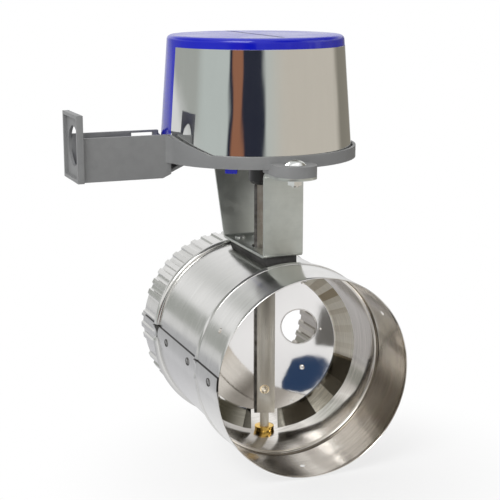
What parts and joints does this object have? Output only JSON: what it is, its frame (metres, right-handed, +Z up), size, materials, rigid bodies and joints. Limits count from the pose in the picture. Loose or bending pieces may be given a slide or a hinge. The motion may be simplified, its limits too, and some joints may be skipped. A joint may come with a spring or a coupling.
{
  "type": "vent damper",
  "caption": "Motorised vent damper: a round sheet-metal flue collar with a turning blade, carried shaft and bracket, and a round capped drive housing with a plug arm.",
  "frame": {"origin": "centre of the open end of the plain inlet collar, on the duct axis", "axes": "+Y runs along the duct from the inlet to the crimped outlet, +Z up along the damper shaft to the drive housing, +X to the right; the plug arm points along -X"},
  "size_m": [0.2362, 0.2125, 0.3291],
  "materials": {
    "stainless": "bright rolled stainless sheet",
    "mirror_steel": "polished stainless blade",
    "bar_steel": "drawn steel with long grain",
    "galvanised": "galvanised with fine spangle",
    "brass": "turned brass",
    "zinc_screw": "bright zinc plate",
    "gasket": "pressed mineral fibre",
    "grey_plastic": "satin moulded plastic",
    "blue_plastic": "glossy moulded plastic",
    "foil": "plain reflective foil",
    "black_plastic": "moulded black plastic",
    "ivory_plastic": "acetal",
    "switch_red": "moulded plastic",
    "board_green": "lacquered board",
    "relay_plastic": "moulded plastic",
    "sleeve_blue": "shrunk sleeve",
    "terminal_green": "moulded plastic",
    "gear_steel": "machined steel"
  },
  "bodies": {
    "housing": {"vent_pipe": "stainless", "lower_bushing": "brass", "heat_gasket": "gasket", "bracket": "galvanised", "bracket_rivets": "zinc_screw", "actuator_tray": "grey_plastic", "tray_screws": "zinc_screw", "tray_nuts": "zinc_screw", "drive_deck": "galvanised", "deck_screws": "zinc_screw", "gear_case": "black_plastic", "motor_can": "gear_steel", "motor_screws": "zinc_screw", "switch_lower": "black_plastic", "switch_upper": "switch_red", "switch_screws": "zinc_screw", "circuit_board": "board_green", "board_screws": "zinc_screw", "relay": "relay_plastic", "capacitor": "sleeve_blue", "terminal_block": "terminal_green", "terminal_screws": "zinc_screw"},
    "blade_shaft": {"shaft_bar": "bar_steel", "shaft_pin": "bar_steel", "blade": "mirror_steel", "blade_rivets": "bar_steel", "drive_hub": "black_plastic", "hub_pin": "gear_steel", "output_gear": "ivory_plastic", "switch_cam": "ivory_plastic", "spigot_ring": "gear_steel"},
    "pinion": {"motor_pinion": "gear_steel"},
    "cover": {"cap": "blue_plastic", "foil_label": "foil"}
  },
  "joints": [
    {"name": "blade_turn", "type": "hinge", "parent": "housing", "child": "blade_shaft", "pos_m": [0, 0.1005, 0], "axis": [0, 0, 1], "continuous": true},
    {"name": "pinion_turn", "type": "hinge", "parent": "housing", "child": "pinion", "pos_m": [0, 0.1411, 0], "axis": [0, 0, 1], "continuous": true},
    {"name": "cap_lift", "type": "slide", "parent": "housing", "child": "cover", "axis": [0, 0, 1], "range_m": [0, 0.12]}
  ],
  "couplings": [
    {"joint": "pinion_turn", "follows": "blade_turn", "ratio": -2.8571}
  ]
}
